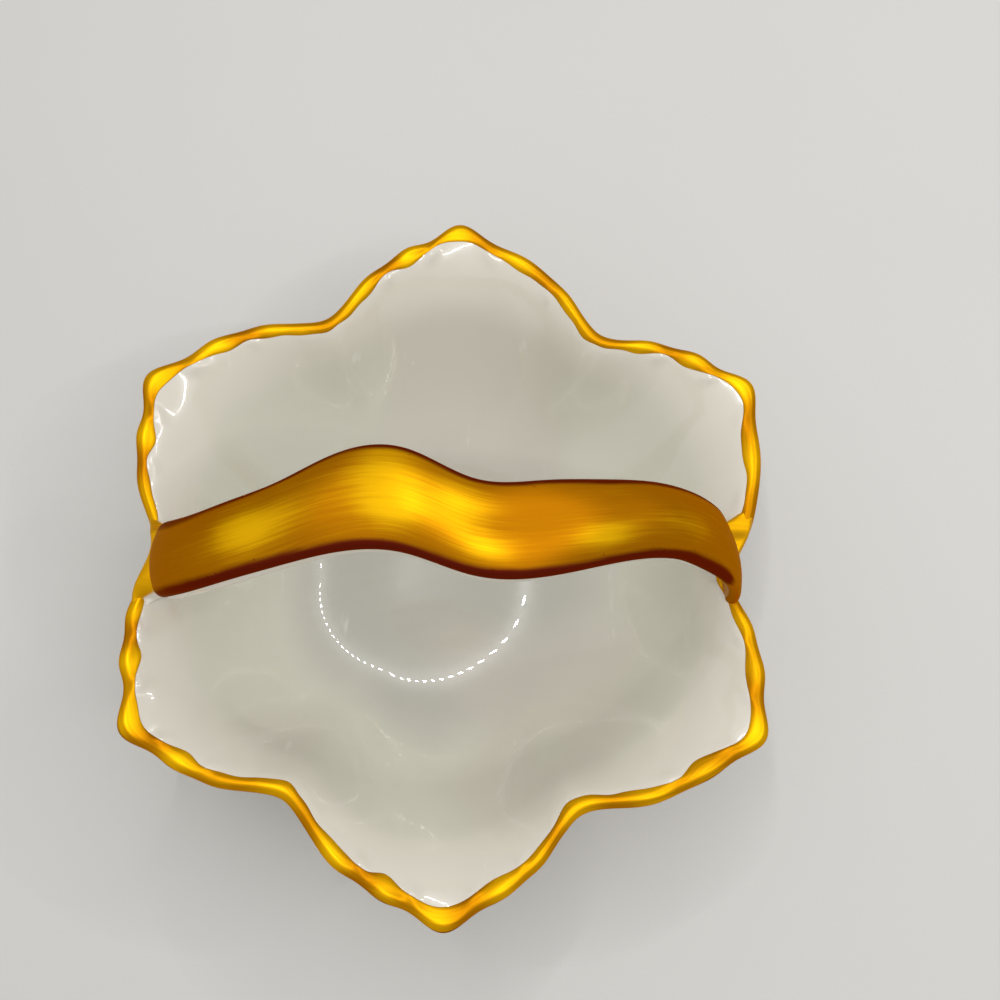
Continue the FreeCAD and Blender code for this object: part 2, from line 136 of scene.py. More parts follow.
# %% [markdown]
# ## The wall's two faces
# The faces lie half the wall's thickness to each side of its middle, and a half round joins them over
# the lip. Small scallops run along each petal's edge and die out towards the valleys. They are deeper
# outside than inside, and a hand has softened them, so they are not quite evenly spaced. A shallow
# flute runs down the wall from each one, and glaze has gathered in a small drop below each dent.
# Sculpting these would be slow and never the same twice, so they are waves and bumps in the formula,
# which fade away from the lip.

# %% The faces of the wall
TINY_STEP = 1e-4
SCALLOP_OUTSIDE, SCALLOP_INSIDE = 0.26 * MM, 0.12 * MM
SCALLOP_DRIFT = [(5, 1.1, 0.7), (11, 0.4, 0.5)]
SCALLOP_MEAN, SCALLOP_UNEVEN, SCALLOP_GAIN = 0.9, [(7, 2.0, 0.35)], 1.25
BEAD_SWELL, BEAD_FADE, BEAD_POWER = 0.03 * MM, 12.0, 1.3
FLUTE_DEPTH, FLUTE_FADE = 0.18 * MM, 16.0
PEARL_RISE, PEARL_SIZE, PEARL_DOWN, PEARL_SPREAD = 0.48 * MM, 1.1 * MM, 1.05 * MM, 0.9
INSIDE, OUTSIDE = 0.0, math.pi


def waver(angle, waves):
    """A few waves round the dish, each with its count, its phase and its height."""
    return sum(height * np.sin(count * angle + phase) for count, phase, height in waves)


def scallop_turn(angle):
    """How far round its wave a scallop is, in radians: 0 on a crest and pi in a dent."""
    turns = RIPPLES * (petal_angle(angle)[0] - FIRST_TIP) + waver(angle, SCALLOP_DRIFT)
    return turns % (2 * math.pi)


def scallop_depth(angle):
    """How strong the scallops are: uneven along a petal, and gone in the valleys."""
    in_petal = np.clip(SCALLOP_GAIN * petal_share(petal_angle(angle)[0]), 0, 1)
    return in_petal * (SCALLOP_MEAN + waver(angle, SCALLOP_UNEVEN))


def scallop(angle):
    """The scallops along the edge: about 1 on a crest, -1 in the dent beside it, and 0 in a valley."""
    return scallop_depth(angle) * np.cos(scallop_turn(angle))


def bead(angle):
    """How far into a scallop's bead an angle is, from 0 to about 1."""
    return np.clip(0.5 + 0.5 * scallop(angle), 0, 1.2) ** BEAD_POWER


def pearl(angle, down):
    """A small drop of glaze inside each dent of the rim, a little way down from the lip."""
    beside = np.exp(-((scallop_turn(angle) - math.pi) / PEARL_SPREAD) ** 2)
    return PEARL_RISE * scallop_depth(angle) * beside * np.exp(-((down - PEARL_DOWN) / PEARL_SIZE) ** 2)


def wall_face(t, turn, angle, proud):
    """Points on the wall: turn goes from 0 inside, over the lip, to pi outside."""
    radius, height = middle_line(t, angle)
    radius_ahead, height_ahead = middle_line(t + TINY_STEP, angle)
    length = np.hypot(radius_ahead - radius, height_ahead - height)
    run, rise = (radius_ahead - radius) / length, (height_ahead - height) / length
    thickness = WALL + (FLOOR_THICKNESS - WALL) * (1 - t) ** 2
    reach = thickness / 2 + BEAD_SWELL * bead(angle) * t ** BEAD_FADE + proud
    across, along = -np.cos(turn), np.sin(turn)
    outwards = SCALLOP_INSIDE + (SCALLOP_OUTSIDE - SCALLOP_INSIDE) * (1 + across) / 2
    radius = radius + reach * (across * rise + along * run) + outwards * scallop(angle) * t ** EDGE_FADE
    inside_or_out = np.where(np.asarray(turn) > math.pi / 2, -1, 1)
    from_lip = inside_or_out * (1 - t) * length / TINY_STEP - turn * WALL / 2
    waves = FLUTE_DEPTH * scallop(angle) * t ** FLUTE_FADE + pearl(angle, from_lip)
    height = height + reach * (along * rise - across * run) + waves
    return np.stack(np.broadcast_arrays(radius * np.cos(angle), radius * np.sin(angle), height), axis=-1)


print("lip over a tip:", np.round(wall_face(1.0, math.pi / 2, FIRST_TIP, 0.0) / MM, 2))

# %% [markdown]
# ## From rings of points to a mesh
# Every piece of the dish is a skin over rings of points: round the bowl, along the strap, along the
# gold. One helper joins neighbouring rings with quads and closes both ends, so each mesh is watertight.
# Shading is smooth, because fired glaze has no corners. A second helper puts a piece in the place of
# its CAD solid.

# %% Mesh from rings
def skin(name, rings, loop=False):
    """A smooth closed mesh through rings of points. A loop joins the last ring to the first one."""
    rings = np.asarray(rings, dtype=float)
    count, size = rings.shape[:2]
    first = np.arange(count if loop else count - 1)[:, None] * size
    second = (first + size) % (count * size)
    here = np.arange(size)[None, :]
    there = (here + 1) % size
    quads = np.stack([first + here, first + there, second + there, second + here], axis=-1).reshape(-1, 4)
    points, faces = rings.reshape(-1, 3), quads.tolist()
    if not loop:
        last = (count - 1) * size
        points = np.concatenate([points, [rings[0].mean(axis=0), rings[-1].mean(axis=0)]])
        faces += [[count * size, (k + 1) % size, k] for k in range(size)]
        faces += [[count * size + 1, last + k, last + (k + 1) % size] for k in range(size)]
    mesh = bpy.data.meshes.new(name)
    mesh.from_pydata(points.tolist(), [], faces)
    mesh.polygons.foreach_set("use_smooth", [True] * len(mesh.polygons))
    piece = bpy.data.objects.new(name, mesh)
    bpy.context.scene.collection.objects.link(piece)
    print(name, len(mesh.polygons), "faces")
    return piece


def dress(piece, node, finish):
    """Put a piece in place of its CAD node, and give it its finish."""
    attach(piece, "root")
    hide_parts(node)
    piece.data.materials.append(finish)


# %% [markdown]
# ## Shader maths that reads like maths
# A finish mixes noises and masks. Written as nodes and links, that is hard to read. A small class wraps
# one output of a node, so that `1 - mask` adds the Math node for it. Every other kind of node comes
# from one method.

# %% Values and finishes
class Value:
    """One output of a shader node. Arithmetic on it adds Math nodes to the same finish."""

    def __init__(self, finish, socket):
        self.finish, self.socket = finish, socket

    def maths(self, operation, first, second):
        """Add a Math node that works on two values or numbers."""
        return self.finish.node("ShaderNodeMath", {"operation": operation}, {0: first, 1: second})

    def __add__(self, other):
        return self.maths("ADD", self, other)

    def __radd__(self, other):
        return self.maths("ADD", other, self)

    def __sub__(self, other):
        return self.maths("SUBTRACT", self, other)

    def __rsub__(self, other):
        return self.maths("SUBTRACT", other, self)

    def __mul__(self, other):
        return self.maths("MULTIPLY", self, other)

    def __rmul__(self, other):
        return self.maths("MULTIPLY", other, self)


class Finish:
    """A material in the making, with one Principled shader."""

    def __init__(self, name):
        self.material = bpy.data.materials.new(name)
        self.material.use_nodes = True
        self.tree = self.material.node_tree
        self.tree.nodes.clear()

    def node(self, kind, settings, inputs, output=0):
        """Add a node, set its settings and then its sockets, and return one of its outputs."""
        made = self.tree.nodes.new(kind)
        for name, setting in settings.items():
            setattr(made, name, setting)
        for name, value in inputs.items():
            if isinstance(value, Value):
                self.tree.links.new(value.socket, made.inputs[name])
            else:
                made.inputs[name].default_value = value
        return Value(self, made.outputs[output]) if made.outputs else None

    def mix(self, factor, first, second):
        """A colour between two colours."""
        return self.node("ShaderNodeMix", {"data_type": "RGBA"}, {0: factor, 6: first, 7: second}, output=2)

    def height(self):
        """How high a point is over the table, in metres."""
        return self.node("ShaderNodeSeparateXYZ", {}, {0: self.place()}, output="Z")

    def ramp(self, value, low, high):
        """A soft step from 0 at low to 1 at high."""
        sockets = {"Value": value, "From Min": low, "From Max": high}
        return self.node("ShaderNodeMapRange", {"interpolation_type": "SMOOTHSTEP"}, sockets)

    def noise(self, place, scale, detail=2.0, stretch=(1.0, 1.0, 1.0)):
        """A noise from 0 to 1 over a place, stretched along an axis by a small number there."""
        moved = self.node("ShaderNodeVectorMath", {"operation": "MULTIPLY"}, {0: place, 1: stretch})
        return self.node("ShaderNodeTexNoise", {}, {"Vector": moved, "Scale": scale, "Detail": detail})

    def place(self):
        """Where a point is on the piece, in metres."""
        return self.node("ShaderNodeTexCoord", {}, {}, output="Object")

    def finish(self, height, distance, **sockets):
        """The Principled shader, over a bump of so many metres, as the finished material."""
        normal = self.node("ShaderNodeBump", {}, {"Height": height, "Distance": distance, "Strength": 1.0})
        inputs = {name.replace("_", " "): value for name, value in sockets.items()}
        shader = self.node("ShaderNodeBsdfPrincipled", {}, {"Normal": normal, **inputs})
        self.node("ShaderNodeOutputMaterial", {}, {"Surface": shader})
        return self.material


def srgb(red, green, blue):
    """A colour as a paint chart gives it, from 0 to 255, in the linear light that shaders use."""
    shares = [channel / 255 for channel in (red, green, blue)]
    linear = [share / 12.92 if share <= 0.04045 else ((share + 0.055) / 1.055) ** 2.4 for share in shares]
    return (*linear, 1.0)


print("middle grey in linear light:", round(srgb(128, 128, 128)[0], 3))

# %% [markdown]
# ## Porcelain under glaze
# Glazed porcelain is a milky white body under a thin sheet of glass. Its colour is painted a little
# greyer in the well, as painted shade, and lighter in a band near the lip, as a painted reflection. It
# also has faint clouds, fine scuffs and one brown speck from the kiln. A shell of real glass would be
# slow to render and noisy. A Principled shader with a coat does the same: the coat gives the sharp
# reflections, and noises shade the base under it.

# %% The glaze
# The lip colour is a painted reflection, and the well colour is painted shade.
GLAZE_LIP_PAINTED_LIGHT = srgb(218, 212, 198)
GLAZE_WALL = srgb(206, 204, 188)
GLAZE_WELL_PAINTED_SHADE = srgb(178, 176, 164)
GLAZE_CLOUD = srgb(198, 189, 176)
GLAZE_SCUFF = srgb(230, 227, 220)
SPECK_BROWN = srgb(150, 130, 104)
SPECK_PLACE = (-0.0015, 0.0395, 0.0205)
SPECK_SIZE, SPECK_CORE = 0.6 * MM, 0.18 * MM
LIP_FROM, LIP_FULL = 21.0 * MM, 26.5 * MM
WELL_FROM, WELL_FULL = 12.0 * MM, 5.0 * MM
LEVEL_WANDER = 5.0 * MM
LEVEL_NOISE_SCALE, CLOUD_SCALE, SCUFF_SCALE, PEEL_SCALE = 55.0, 38.0, 330.0, 480.0
SCUFF_STRETCH = (1.0, 0.16, 0.5)
CLOUD_BAND, SCUFF_BAND = (0.50, 0.68), (0.66, 0.80)
CLOUD_SHARE, SCUFF_SHARE, SPECK_SHARE = 0.5, 0.35, 0.5
GLAZE_ROUGH, SCUFF_ROUGH, LEVEL_NOISE_ROUGH = 0.20, 0.14, 0.05
PEEL_DEPTH, SCUFF_BUMP = 0.008 * MM, 0.2
COAT, COAT_ROUGH, COAT_IOR, BODY_IOR = 0.8, 0.02, 1.7, 1.5


def glaze_parts(finish):
    """Base colour, roughness and bump of the glaze."""
    place = finish.place()
    level_noise = finish.noise(place, LEVEL_NOISE_SCALE)
    # Painted light: lighter near the lip as a painted reflection, greyer in the well as painted shade.
    level = finish.height() + LEVEL_WANDER * (level_noise - 0.5)
    lip_painted_light = finish.ramp(level, LIP_FROM, LIP_FULL)
    well_painted_shade = finish.ramp(level, WELL_FROM, WELL_FULL)
    clouds = finish.ramp(finish.noise(place, CLOUD_SCALE, detail=1.0), *CLOUD_BAND)
    from_speck = finish.node(
        "ShaderNodeVectorMath", {"operation": "DISTANCE"}, {0: place, 1: SPECK_PLACE}, output="Value")
    speck = finish.ramp(from_speck, SPECK_SIZE, SPECK_CORE)
    scuffs = finish.noise(place, SCUFF_SCALE, detail=3.0, stretch=SCUFF_STRETCH)
    scuffs = finish.ramp(scuffs, *SCUFF_BAND)
    colour = finish.mix(lip_painted_light, GLAZE_WALL, GLAZE_LIP_PAINTED_LIGHT)
    colour = finish.mix(well_painted_shade, colour, GLAZE_WELL_PAINTED_SHADE)
    colour = finish.mix(CLOUD_SHARE * clouds * (1 - lip_painted_light), colour, GLAZE_CLOUD)
    colour = finish.mix(SCUFF_SHARE * scuffs, colour, GLAZE_SCUFF)
    colour = finish.mix(SPECK_SHARE * speck, colour, SPECK_BROWN)
    roughness = GLAZE_ROUGH + SCUFF_ROUGH * scuffs + LEVEL_NOISE_ROUGH * level_noise
    orange_peel = finish.noise(place, PEEL_SCALE)
    return colour, roughness, orange_peel + SCUFF_BUMP * scuffs


def porcelain_glaze():
    """White porcelain under a clear glaze."""
    finish = Finish("porcelain_glaze")
    colour, roughness, bump = glaze_parts(finish)
    return finish.finish(
        bump, PEEL_DEPTH, Base_Color=colour, Roughness=roughness, IOR=BODY_IOR,
        Coat_Weight=COAT, Coat_Roughness=COAT_ROUGH, Coat_IOR=COAT_IOR)


glaze = porcelain_glaze()
print("finish:", glaze.name)

# %% [markdown]
# ## The bowl
# The bowl is what the mould gives: one sheet of porcelain with six petals. It could be half a ball with
# its rim pulled out, but then its wall would be uneven. Here it is one skin over the formula: out from
# the middle of the well, up the inside, over the lip, down the outside and back under the floor. The
# rows crowd together near the lip, where the scallops are.

# %% Bowl
BOWL_COLUMNS = 960
WELL_STEPS = np.linspace(0.04, 1.0, 7)[:-1]
INSIDE_STEPS = 1 - (1 - np.linspace(0.0, 1.0, 48)) ** 1.6
OUTSIDE_STEPS = 1 - (1 - np.linspace(0.0, 1.0, 25)) ** 1.4
LIP_TURNS = np.linspace(0.0, math.pi, 15)


def porcelain_bowl():
    """Rings of points from the well over the lip to the underside."""
    angles = np.linspace(0, 2 * math.pi, BOWL_COLUMNS, endpoint=False)
    inside = [wall_face(t, INSIDE, angles, 0.0) for t in INSIDE_STEPS]
    lip = [wall_face(1.0, turn, angles, 0.0) for turn in LIP_TURNS[1:-1]]
    outside = [wall_face(t, OUTSIDE, angles, 0.0) for t in OUTSIDE_STEPS[::-1]]
    shrink = [np.array([step, step, 1.0]) for step in WELL_STEPS]
    well = [inside[0] * share for share in shrink]
    under = [outside[-1] * share for share in reversed(shrink)]
    return skin("porcelain_bowl", well + inside + lip + outside + under)


dress(porcelain_bowl(), "dish_bowl", glaze)

# %% [markdown]
# ## The foot ring
# The dish stands on a low turned ring. Its sides are glazed with the bowl, and the edge that stands on
# the kiln shelf is wiped bare, so it is matt and slightly creamy. A Spin or a Screw modifier would turn
# its section too, but points on circles are as short and need no modifier. Its top ends inside the
# bowl's wall, so no gap shows between them.

# %% Foot ring
BISQUE = srgb(222, 214, 198)
BARE_HEIGHT, BARE_FADE, BARE_WANDER = 0.7 * MM, 0.25 * MM, 0.3 * MM
GRAIN_SCALE, GRAIN_DEPTH = 2600.0, 0.03 * MM
BARE_ROUGH, FOOT_COAT, FOOT_COAT_ROUGH = 0.6, 0.6, 0.04
FOOT_ROUND, FOOT_DRAFT = 0.5 * MM, 0.4 * MM
FOOT_STEPS, ROUND_POINTS, PROFILE_POINTS = 240, 7, 200


def bisque_foot():
    """Glaze on the sides, and bare, grainy bisque where it stands."""
    finish = Finish("bisque_foot")
    colour, roughness, bump = glaze_parts(finish)
    grain = finish.noise(finish.place(), GRAIN_SCALE, detail=4.0)
    bare = finish.ramp(finish.height() + BARE_WANDER * grain, BARE_HEIGHT + BARE_FADE, BARE_HEIGHT)
    return finish.finish(
        bump + bare * grain, GRAIN_DEPTH, Base_Color=finish.mix(bare, colour, BISQUE),
        Roughness=roughness + BARE_ROUGH * bare, Coat_Weight=FOOT_COAT - FOOT_COAT * bare,
        Coat_Roughness=FOOT_COAT_ROUGH)


def wall_height(radius):
    """The height of the middle of the wall at a radius, along a valley."""
    radii, heights = middle_line(np.linspace(0.0, 1.0, PROFILE_POINTS), FIRST_TIP + PITCH / 2)
    return np.interp(radius, radii, heights)


def foot_ring():
    """A ring with rounded lower edges, whose top is inside the bowl's wall."""
    half = FOOT_WIDTH / 2 - FOOT_DRAFT
    outer = [(half - FOOT_ROUND + FOOT_ROUND * math.sin(a), FOOT_ROUND - FOOT_ROUND * math.cos(a))
             for a in np.linspace(0, math.pi / 2, ROUND_POINTS)]
    top = [(x, wall_height(FOOT_RADIUS + x)) for x in (FOOT_WIDTH / 2, -FOOT_WIDTH / 2)]
    section = [(-x, z) for x, z in reversed(outer)] + outer + top
    angles = np.linspace(0, 2 * math.pi, FOOT_STEPS, endpoint=False)
    rings = [[((FOOT_RADIUS + x) * math.cos(a), (FOOT_RADIUS + x) * math.sin(a), z) for x, z in section]
             for a in angles]
    return skin("standing_ring", rings, loop=True)


dress(foot_ring(), "foot_ring", bisque_foot())

# %% [markdown]
# ## The strap's path
# The strap was rolled out, laid over a form and pressed by hand, so it wanders sideways and swells at
# its bends. A Bezier curve with a bevel could follow it, but a wider place would also be thicker. Here
# its middle is half an ellipse from one valley of the rim to the other. At a few stations, by their
# degrees along the arch, the sideways shift and the width are given as shares of the plain width, and a
# smooth curve runs through them. They follow the photograph slightly closer than the CAD model does.

# %% Strap path
HALF_SPAN = VALLEY_RADIUS - WALL / 2 - FOOT_INSET
FOOT_LEVEL = BOWL_HEIGHT - TIP_LIFT + SLIP_BED
STRAP_STATIONS = [
    (0, -0.17, 1.04), (12, -0.32, 1.03), (24, -0.41, 1.00), (36, -0.43, 0.98), (48, -0.36, 0.99),
    (60, -0.22, 1.04), (72, 0.0, 1.21), (84, 0.0, 1.24), (96, -0.29, 1.14), (108, -0.27, 1.16),
    (120, -0.12, 1.06), (132, 0.02, 0.96), (144, 0.07, 0.91), (156, 0.04, 0.93), (168, -0.01, 0.98),
    (180, -0.08, 1.04),
]
STRAP_STEPS = 361


def smooth_through(places, values, wanted):
    """A natural cubic spline through a few values, read at the wanted places."""
    places, values = np.asarray(places, float), np.asarray(values, float)
    gaps, slopes = np.diff(places), np.diff(values) / np.diff(places)
    count = len(places)
    matrix, right = np.eye(count), np.zeros(count)
    for k in range(1, count - 1):
        matrix[k, k - 1:k + 2] = gaps[k - 1], 2 * (gaps[k - 1] + gaps[k]), gaps[k]
        right[k] = 6 * (slopes[k] - slopes[k - 1])
    bend = np.linalg.solve(matrix, right)
    k = np.clip(np.searchsorted(places, wanted) - 1, 0, count - 2)
    gap, before, after = gaps[k], wanted - places[k], places[k + 1] - wanted
    ends = (bend[k] * after ** 3 + bend[k + 1] * before ** 3) / (6 * gap)
    return (ends + (values[k] / gap - bend[k] * gap / 6) * after
            + (values[k + 1] / gap - bend[k + 1] * gap / 6) * before)


station_turns, station_shifts, station_widths = np.array(STRAP_STATIONS, float).T
strap_turns = np.linspace(0.0, 180.0, STRAP_STEPS)
strap_shift = smooth_through(station_turns, station_shifts, strap_turns) * STRAP_PLAIN_WIDTH
strap_width = smooth_through(station_turns, station_widths, strap_turns) * STRAP_PLAIN_WIDTH
strap_phi = np.radians(strap_turns)
strap_middle = np.stack([
    -HALF_SPAN * np.cos(strap_phi), strap_shift, FOOT_LEVEL + HANDLE_RISE * np.sin(strap_phi)], axis=-1)
strap_up = np.stack([
    -HANDLE_RISE * np.cos(strap_phi), 0 * strap_phi, HALF_SPAN * np.sin(strap_phi)], axis=-1)
strap_up /= np.linalg.norm(strap_up, axis=-1, keepdims=True)
strap_along = np.concatenate([[0.0], np.cumsum(np.linalg.norm(np.diff(strap_middle, axis=0), axis=-1))])
print("strap", round(strap_along[-1] / MM, 1), "mm long")
print("strap", round(strap_width.max() / MM, 1), "mm wide at its widest")

# %% [markdown]
# ## The strap's section
# Across, the strap is flat underneath, rounded at its edges and gently crowned on top. The edges are
# arcs, and the crown is an arc that meets them smoothly. Arcs keep the gloss even, where a bevelled box
# would show its facets. Fingers left shallow dents along the strap, so its thickness wavers by a
# fraction of a millimetre. Its edges are rounder at the left foot. At the right foot it is thinner, and
# its near edge leans outwards.

# %% Strap section
EDGE_POINTS, CROWN_POINTS, UNDER_POINTS = 12, 24, 14
EDGE_AT_LEFT, LEFT_END = 0.27 * MM, 22.0
THIN_AT_RIGHT, RIGHT_END = 1.9 * MM, 45.0
LEAN_AT_RIGHT, LEAN_END = 2.4 * MM, 36.0
EDGE_THINNING = 0.4
DENT_DEPTH = 0.13 * MM
FOOT_SUNK = 1.6 * MM
DENT_WAVES = [(17 * MM, 0.4, 1.0), (29 * MM, 2.1, 0.8), (11 * MM, 4.0, 0.35)]


def soft_step(value):
    """A smooth step from 0 at 0 to 1 at 1."""
    value = np.clip(value, 0, 1)
    return value * value * (3 - 2 * value)


def thickness_along(along):
    """The strap's thickness, with the shallow dents of its making."""
    dents = sum(share * np.sin(2 * math.pi * along / wave + phase) for wave, phase, share in DENT_WAVES)
    return STRAP_THICKNESS + DENT_DEPTH * dents


def crown_of(width, thickness, edge):
    """Half of the flat underside, the crown's radius and the angle at which the crown meets the edge."""
    flat = width / 2 - edge
    drop = edge - thickness
    radius = (flat ** 2 + drop ** 2 - edge ** 2) / (2 * (thickness - 2 * edge))
    return flat, radius, math.atan2(edge - thickness + radius, flat)


def over_top(width, thickness, edge, proud, far_start, near_start):
    """Points over the strap from its far edge to its near one, from an angle on the arc of each edge."""
    flat, radius, meet = crown_of(width, thickness, edge)
    far_turns = np.linspace(far_start, meet, EDGE_POINTS)
    near_turns = np.linspace(meet, near_start, EDGE_POINTS)
    crown_turns = np.linspace(meet, math.pi - meet, CROWN_POINTS)[1:-1]
    proud = np.broadcast_to(proud, 2 * EDGE_POINTS + CROWN_POINTS - 2)
    reach = edge + proud[:EDGE_POINTS]
    far = np.stack([flat + reach * np.cos(far_turns), edge + reach * np.sin(far_turns)], axis=-1)
    reach = radius + proud[EDGE_POINTS:-EDGE_POINTS]
    crown_heights = thickness - radius + reach * np.sin(crown_turns)
    crown = np.stack([reach * np.cos(crown_turns), crown_heights], axis=-1)
    reach = edge + proud[-EDGE_POINTS:]
    near = np.stack([-flat - reach * np.cos(near_turns), edge + reach * np.sin(near_turns)], axis=-1)
    return np.concatenate([far, crown, near]) - np.array([0.0, STRAP_THICKNESS / 2])


def lay_along(sections):
    """Lay flat sections along the strap: their first axis goes across it and their second one up."""
    sections = np.asarray(sections)
    across = np.array([0.0, 1.0, 0.0])
    to_near = 0.5 - sections[..., :1] / strap_width[:, None, None]
    heights = sections[..., 1:] + strap_thin[:, None, None] / 2 + strap_lean[:, None, None] * to_near
    rings = strap_middle[:, None] + sections[..., :1] * across + heights * strap_up[:, None]
    sunk = np.array([0.0, 0.0, FOOT_SUNK])
    return np.concatenate([rings[:1] - sunk, rings, rings[-1:] - sunk])


strap_thin = THIN_AT_RIGHT * soft_step((strap_turns - 180 + RIGHT_END) / RIGHT_END)
strap_lean = LEAN_AT_RIGHT * soft_step((strap_turns - 180 + LEAN_END) / LEAN_END)
strap_thickness = thickness_along(strap_along) - strap_thin
edge_at_left = EDGE_AT_LEFT * np.exp(-(strap_turns / LEFT_END) ** 2)
strap_edge = STRAP_EDGE + edge_at_left - EDGE_THINNING * strap_thin
thinnest, thickest = strap_thickness.min(), strap_thickness.max()
print("strap", round(thinnest / MM, 2), "to", round(thickest / MM, 2), "mm thick")

# %% [markdown]
# ## Satin gold
# The gold is brushed on as a liquid and fired, then burnished to a satin. Its colour runs from bright
# yellow in painted highlights to a red brown near the edges, which is painted shade, with real pits
# there as well. Fine brush strokes follow the strap. A painted image could show all this, but it would
# blur close up and need an unwrapped mesh. Values stored on the mesh's points avoid both. They say how
# far along and across the gold a point is, how much painted shade it gets near an edge and how much
# painted highlight it gets. Porcelain that is gilded only in part also stores the share that gold covers.

# %% Gold
# The bright gold is the colour of painted highlights; the red brown is painted shade at edges and the pits'
# colour.
GOLD_BRIGHT = srgb(255, 196, 14)
GOLD_DEEP = srgb(187, 118, 6)
GOLD_EDGE_SHADE_AND_PITS = srgb(112, 32, 16)
GOLD_RIM_OF_LIGHT = (0.75, 0.50, 0.22, 1.0)
MAP_NAME, HIGHLIGHT_NAME, GILT_NAME = "brush_map", "painted_highlight", "gilt_share"
STROKE_SCALE, STROKE_STRETCH = 1500.0, (0.05, 1.0, 0.0)
HAIR_SCALE, HAIR_STRETCH = 4200.0, (0.03, 1.0, 0.0)
PATCH_SCALE, PIT_SCALE = 160.0, 1300.0
BRIGHT_STROKES, BRIGHT_HAIRS, BRIGHT_PATCHES = 0.4, 0.5, 0.3
EDGE_SHADE_STROKES, EDGE_SHADE_PATCHES, PIT_SHARE = 0.3, 0.25, 0.7
GOLD_ROUGH, STROKE_ROUGH, HIGHLIGHT_SMOOTH = 0.41, 0.14, 0.08
STROKE_BUMP, HAIR_BUMP = 0.6, 0.4
EDGE_SHADE_BAND, PIT_BAND, PIT_EDGE_BAND, GILT_BAND = (0.35, 0.75), (0.68, 0.76), (0.2, 0.6), (0.40, 0.60)
STRAP_BRUSH_DEPTH, RIM_BRUSH_DEPTH, GILDED_DEPTH = 0.022 * MM, 0.015 * MM, 0.012 * MM


def map_brush(piece, along, across, edge, painted_highlight):
    """Store how far along and across the gold each point is, its painted edge shade and painted highlight.
    """
    values = np.stack(np.broadcast_arrays(along, across, edge, painted_highlight), axis=-1).reshape(-1, 4)
    values = np.concatenate([values, values[:1], values[-1:]])
    layer = piece.data.attributes.new(MAP_NAME, "FLOAT_VECTOR", "POINT")
    layer.data.foreach_set("vector", np.ascontiguousarray(values[:, :3]).ravel())
    layer = piece.data.attributes.new(HIGHLIGHT_NAME, "FLOAT", "POINT")
    layer.data.foreach_set("value", np.ascontiguousarray(values[:, 3]))


def mark_gilt(piece, shares):
    """Store on each point of a porcelain piece how far the gold covers it."""
    shares = np.ravel(shares)
    layer = piece.data.attributes.new(GILT_NAME, "FLOAT", "POINT")
    layer.data.foreach_set("value", np.concatenate([shares, shares[:1], shares[-1:]]))


def gold_parts(finish):
    """Base colour, roughness and bump of the gold."""
    brush = finish.node("ShaderNodeAttribute", {"attribute_name": MAP_NAME}, {}, output="Vector")
    painted_highlight = finish.node("ShaderNodeAttribute", {"attribute_name": HIGHLIGHT_NAME}, {}, output="Fac")
    edge = finish.node("ShaderNodeSeparateXYZ", {}, {0: brush}, output="Z")
    place = finish.place()
    strokes = finish.noise(brush, STROKE_SCALE, detail=4.0, stretch=STROKE_STRETCH)
    hairs = finish.noise(brush, HAIR_SCALE, stretch=HAIR_STRETCH)
    patches = finish.noise(place, PATCH_SCALE)
    # Painted highlight: the stored highlight, with the brush strokes, lifts the colour towards bright gold.
    highlight_and_strokes = painted_highlight + BRIGHT_STROKES * (strokes - 0.5) + BRIGHT_HAIRS * (hairs - 0.5)
    bright = finish.ramp(highlight_and_strokes + BRIGHT_PATCHES * (patches - 0.5), 0.0, 1.0)
    # Painted shade: near an edge the gold is darkened to a red brown; the pits are real marks in that
    # colour.
    shaded_edge = edge + EDGE_SHADE_STROKES * (strokes - 0.5) + EDGE_SHADE_PATCHES * (patches - 0.5)
    edge_shade = finish.ramp(shaded_edge, *EDGE_SHADE_BAND)
    dots = finish.ramp(finish.noise(place, PIT_SCALE, detail=1.0), *PIT_BAND)
    pits = dots * finish.ramp(edge, *PIT_EDGE_BAND)
    colour = finish.mix(bright, GOLD_DEEP, GOLD_BRIGHT)
    colour = finish.mix(edge_shade, colour, GOLD_EDGE_SHADE_AND_PITS)
    colour = finish.mix(PIT_SHARE * pits, colour, GOLD_EDGE_SHADE_AND_PITS)
    roughness = GOLD_ROUGH + STROKE_ROUGH * strokes - HIGHLIGHT_SMOOTH * painted_highlight
    return colour, roughness, STROKE_BUMP * strokes + HAIR_BUMP * hairs


def satin_gold(name, brush_depth):
    """Burnished gold with brush strokes along its map."""
    finish = Finish(name)
    colour, roughness, bump = gold_parts(finish)
    return finish.finish(bump, brush_depth, Base_Color=colour, Roughness=roughness, Metallic=1.0,
                         Specular_Tint=GOLD_RIM_OF_LIGHT)


def gilded_porcelain(name):
    """Porcelain that is white, and gilded where the gold runs over it."""
    finish = Finish(name)
    white, white_rough, white_bump = glaze_parts(finish)
    gold, gold_rough, gold_bump = gold_parts(finish)
    gilt_share = finish.node("ShaderNodeAttribute", {"attribute_name": GILT_NAME}, {}, output="Fac")
    gilt = finish.ramp(gilt_share, *GILT_BAND)
    return finish.finish(
        white_bump + gilt * gold_bump, GILDED_DEPTH, Base_Color=finish.mix(gilt, white, gold),
        Metallic=gilt, Roughness=white_rough + gilt * (gold_rough - white_rough),
        Coat_Weight=COAT - COAT * gilt, Coat_Roughness=COAT_ROUGH)


strap_gold = satin_gold("satin_gold_strap", STRAP_BRUSH_DEPTH)
rim_gold = satin_gold("satin_gold_rim", RIM_BRUSH_DEPTH)
print("finishes:", strap_gold.name, rim_gold.name)

